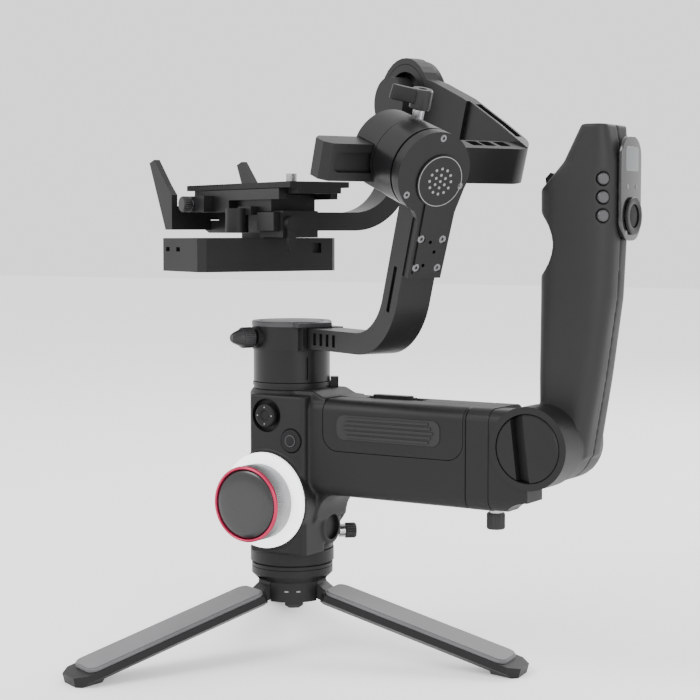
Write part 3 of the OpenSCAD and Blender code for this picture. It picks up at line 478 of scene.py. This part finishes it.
Piece("wheel_band", "handwheel", "wheel_knob", slot="grey_knurl").add(
    revolve([(20.5, 0.2), (21.6, 0.0), (22.0, 0.4), (22.2, 0.9), (22.2, 13.5), (22.0, 14.0), (21.6, 14.3),
             (20.5, 14.3)], 480, closed=True, wave=ridges(120, 0.34, 0.6, 13.8)),
    front(0, -33, WHEEL_Z), knurl_grey).add(
    revolve([(0, -20), (3, -20), (3, 1), (18, 1), (18, 4), (0, 4)], 64),
    front(0, -33, WHEEL_Z), metal_black).done()

Piece("wheel_trim", "handwheel", "wheel_trim_ring", slot="red_trim").add(
    revolve([(20.4, 0), (22.2, 0), (22.25, 0.7), (22.1, 1.2), (21.7, 1.7), (21.2, 1.98), (20.8, 1.9),
             (20.5, 1.5)], 160, closed=True), front(0, -47.5, WHEEL_Z), crimson).done(50)

Piece("wheel_disc", "handwheel", "wheel_face", slot="black_plastic").add(
    revolve([(0, 5.0), (8, 4.97), (13, 4.86), (16.5, 4.6), (18.6, 4.2), (19.7, 3.6), (20.2, 2.8), (20.3, 1.8),
             (20.3, -8), (0, -8)], 128), front(0, -45, WHEEL_Z), face_black).done(50)

stick = Piece("thumb_stick", "joystick", "joystick_cap", slot="black_rubber")
stick.add(revolve([(0, 11.3), (2.9, 11.3), (3.3, 11.9), (4.0, 12.2), (5.8, 12.2), (6.6, 11.7), (7.0, 11.0),
                   (7.0, 9.2), (6.5, 8.6), (1.7, 8.4), (1.6, 0.5), (0, 0)], 144,
                  wave=ridges(36, 0.22, 9.1, 11.1)), STICK, soft_black)
for i in range(4):
    stick.add(revolve([(0, 0.16), (0.4, 0.14), (0.5, 0), (0.5, -0.5), (0, -0.5)], 20),
              STICK @ R(90 * i, "Z") @ T(4.9, 0, 12.15), mark_grey)
stick.done()

Piece("mode_key", "mode_switch", "mode_button", slot="black_rubber").add(
    revolve([(0, 6.1), (2.0, 6.05), (3.0, 5.85), (3.3, 5.6), (4.6, 5.5), (5.6, 5.7), (6.3, 5.6), (6.7, 5.2),
             (6.8, 4.6), (6.8, 0), (0, 0)], 72), KEY, soft_black).add(
    revolve([(3.0, 5.4), (3.0, 5.95), (3.5, 5.95), (3.5, 5.4)], 64, closed=True), KEY, trim_grey).done()

# ---- ribbed pad on the battery cover ----

pad = Piece("ribbed_pad", "battery_door", "grip_pad", slot="black_rubber")
pad_at = front(80, -22, GRIP_Z + 13)
pad.add(prism(round_rect(68, 14.4, 5), -0.2, 0.5, 0.25), pad_at, rib_rubber)
for i in range(-2, 3):
    pad.add(prism(round_rect(60 - abs(i) * 3, 1.5, 0.7), 0.3, 1.2, 0.3), pad_at @ T(0, i * 2.6, 0),
            rib_rubber)
pad.done()

# ---- generic index marks on the tripod hub ----

marks = Piece("hub_marks", "handle", slot="grey_rubber")
for turn in (-66, -46):
    marks.add(prism(round_rect(0.8, 2.4, 0.35), -0.4, 0.12), R(turn, "Z") @ right(20.5, 0, 10), mark_grey)
marks.done()

# ---- screws and knobs ----


def knurled_screw(name, body, node, where, parts, slot):
    p = Piece(name, body, node, slot=slot)
    for profile, count, low, high, material in parts:
        seg = count * 4 if count else 48
        p.add(revolve(profile, seg, wave=ridges(count, 0.35, low, high) if count else None), where, material)
    p.done()


knurled_screw("socket_clamp_screw", "socket_screw", "port_screw", SCREW_BORE, [
    ([(0, 18), (2.5, 18), (2.5, 29), (0, 29)], 0, 0, 0, steel),
    ([(0, 28.5), (3.8, 28.5), (4.0, 28.8), (4.0, 32.2), (0, 32.2)], 0, 0, 0, steel),
    ([(0, 32.3), (4.3, 32.3), (4.7, 32.8), (4.7, 38.2), (4.0, 39.1), (0, 39.2)], 24, 32.5, 38.4, knurl_black),
], "steel")
knurled_screw("adapter_thumb", "adapter_thumbscrew", "adapter_screw", T(138, 0, 57.5), [
    ([(0, 0), (4.7, 0), (5.2, 0.5), (5.2, 8.4), (4.8, 9.2), (0, 9.2)], 28, 0.4, 8.8, knurl_black),
    ([(0, 9.2), (4.0, 9.2), (4.0, 11.5), (2.5, 11.5), (2.5, 21.5), (0, 21.5)], 0, 0, 0, steel),
], "steel")
knurled_screw("pan_lock_thumb", "pan_lock", "pan_lock_knob", PAN @ T(0, -12.5, 161.5) @ R(90, "X"), [
    ([(0, 1), (2.5, 1), (2.5, 15), (0, 15)], 0, 0, 0, steel),
    ([(0, 14), (4.8, 14), (5.3, 14.4), (6.1, 15.2), (6.2, 15.6), (6.2, 21.4), (5.8, 22), (0, 22)],
     30, 15.4, 21.7, knurl_black),
    ([(0, 22), (5.4, 22), (5.0, 23), (3.2, 27.2), (2.2, 28.5), (0, 28.5)], 0, 0, 0, knurl_black),
], "satin_black_metal")
knurled_screw("plate_thumb", "plate_lock", "plate_knob", TILT @ T(-78, -21.5, -62) @ R(90, "X"), [
    ([(0, -8), (2, -8), (2, 5.8), (3, 5.8), (3, 7.1), (0, 7.1)], 0, 0, 0, silver),
    ([(0, 7.1), (4.6, 7.1), (5, 7.5), (5, 12.2), (4.3, 13.0), (0, 13.1)], 26, 7.3, 12.6, knurl_black),
], "satin_black_metal")

# ---- roll clamp lever ----

lever_at = ROLL @ T(120, 9, 0)
lever = Piece("clamp_lever", "roll_clamp_lever", "roll_lever", slot="satin_black_metal")
lever.add(revolve([(0, 10), (3.2, 10), (3.2, 26), (0, 26)], 48), lever_at, steel)
lever.add(revolve([(0, 25.4), (5.3, 25.4), (5.8, 25.9), (5.8, 35.6), (5.2, 36.4), (2.4, 36.4), (2.2, 35.6),
                   (0, 35.6)], 128, wave=ridges(32, 0.3, 26.2, 35.4)), lever_at, knurl_black)
blade = [(-2.4, 0), (-2.4, -17), (-1.6, -19.4), (0, -20), (1.6, -19.4), (2.4, -17), (2.4, 0)]
lever.add(prism(blade, 0, 8, 0.9), lever_at @ T(0, 0, 27.5) @ R(-8, "X") @ T(0, -0.5, 0), metal_black)
lever.done()

# ---- outline and generic dot pattern on the roll motor's cover ----

cover = Piece("cover_marks", "pan_arm_slide", slot="satin_black_metal")
cover_at = ROLL @ T(158, 4, -4) @ R(90, "Y")
cover.add(revolve([(13.2, -0.1), (13.2, 0.12), (13.6, 0.12), (13.6, -0.1)], 96, closed=True), cover_at,
          mark_grey)
for ring, count in ((0.0, 1), (3.4, 6), (6.8, 12)):
    for i in range(count):
        cover.add(revolve([(0, 0.16), (0.65, 0.14), (0.8, 0), (0.8, -0.2), (0, -0.2)], 16),
                  cover_at @ R(360 * i / count, "Z") @ T(ring, 0, 0), mark_grey)
cover.done()

# ---- sling handle ----


for name, node in (("sling_front", "sling_front_shell"), ("sling_rear", "sling_rear_shell")):
    sling_mesh = dress(smoothed(CAD[node].data.copy(), 0.9, 8), sling_black)
    settle(name, sling_mesh, "sling_handle", (node,))

pod = Piece("pod_case", "sling_handle", "remote_pod", slot="black_plastic")
pod_at = right(205.2, 22.5, 247.5)
pod.add(prism(round_rect(57, 27, 11), 0, 2.8, 0.9), pod_at, gloss_black)
pod.add(prism(round_rect(13, 17, 1.5), 2.5, 2.95, 0.1), pod_at @ T(-16, 0, 0), screen)
for y, z in [(-6, -1), (6, -1), (-7.5, 24), (7.5, 24)]:
    pod.add(revolve([(0, 3.2), (1.1, 3.15), (1.4, 2.8), (1.4, 2), (0, 2)], 24), pod_at @ T(z, y, 0), pad_grey)
pod.done()
dial_at = right(208.2, 22.6, 232.6)
dial = Piece("dial_ring", "remote_dial", "pod_dial", slot="satin_black_metal")
dial.add(revolve([(6.6, 0), (9.9, 0), (10.4, 0.4), (10.4, 1.3), (10.0, 1.75), (8.5, 1.9), (6.6, 1.4)], 160,
                 closed=True, wave=ridges(40, 0.25, 0.3, 1.4)), dial_at, motor_black)
dial.add(revolve([(0, 0.9), (5.4, 0.85), (6.4, 0.5), (6.7, 0), (0, 0)], 64), dial_at, soft_black)
dial.done()

# ---- floor, lights and camera ----

FLOOR_Z = -0.029  # underside of the open legs' pads

floor = bpy.data.objects.new("floor", bpy.data.meshes.new("floor"))
bm = bmesh.new()
bmesh.ops.create_grid(bm, x_segments=1, y_segments=1, size=6.0)
bm.to_mesh(floor.data)
bm.free()
floor.location.z = FLOOR_Z
bpy.context.scene.collection.objects.link(floor)
paper, tree, shader = new_material("paper", (0.93, 0.93, 0.93), 0.9, 0.0)
coords = tree.nodes.new("ShaderNodeTexCoord").outputs["Object"]
paper_tone = ramp(tree, noise(tree, coords, 3.0, 4.0), [(0.3, (0.92, 0.92, 0.92)), (0.7, (0.94, 0.94, 0.94))])
tree.links.new(paper_tone, shader.inputs["Base Color"])
shader.inputs["Emission Color"].default_value = (1, 1, 1, 1)
shader.inputs["Emission Strength"].default_value = 0.3
floor.data.materials.append(paper)

world = bpy.data.worlds.new("studio")
bpy.context.scene.world = world
world.use_nodes = True
world.node_tree.nodes["Background"].inputs["Color"].default_value = (1.0, 1.0, 1.0, 1)
world.node_tree.nodes["Background"].inputs["Strength"].default_value = 1.5


def lamp(name, at, target, size, power):
    data = bpy.data.lights.new(name, "AREA")
    data.shape = "DISK"
    data.size = size
    data.energy = power
    o = bpy.data.objects.new(name, data)
    o.location = at
    o.rotation_euler = (Vector(target) - Vector(at)).to_track_quat("-Z", "Y").to_euler()
    bpy.context.scene.collection.objects.link(o)


MIDDLE = (0.04, 0.0, 0.15)
lamp("key", (-0.7, -1.3, 1.5), MIDDLE, 1.1, 26)
lamp("fill", (1.6, -0.9, 0.7), MIDDLE, 1.2, 14)
lamp("back", (0.3, 1.4, 1.2), MIDDLE, 1.0, 16)

DISTANCE = 1.02
TO_EYE = (0.559, -0.829)  # level direction from the pan axis to the camera
EYE_HEIGHT = 0.226
FALL = 0.0717  # how far the line of sight falls in a metre
ASIDE = 0.035  # how far right of the pan axis it passes

camera = bpy.data.objects.new("camera", bpy.data.cameras.new("camera"))
camera.data.lens = 87.4
camera.data.sensor_width = 36
camera.data.clip_start = 0.05
camera.location = (TO_EYE[0] * DISTANCE, TO_EYE[1] * DISTANCE, EYE_HEIGHT)
target = Vector((-TO_EYE[1] * ASIDE, TO_EYE[0] * ASIDE, EYE_HEIGHT - FALL * DISTANCE))
camera.rotation_euler = (target - camera.location).to_track_quat("-Z", "Y").to_euler()
bpy.context.scene.collection.objects.link(camera)
bpy.context.scene.camera = camera
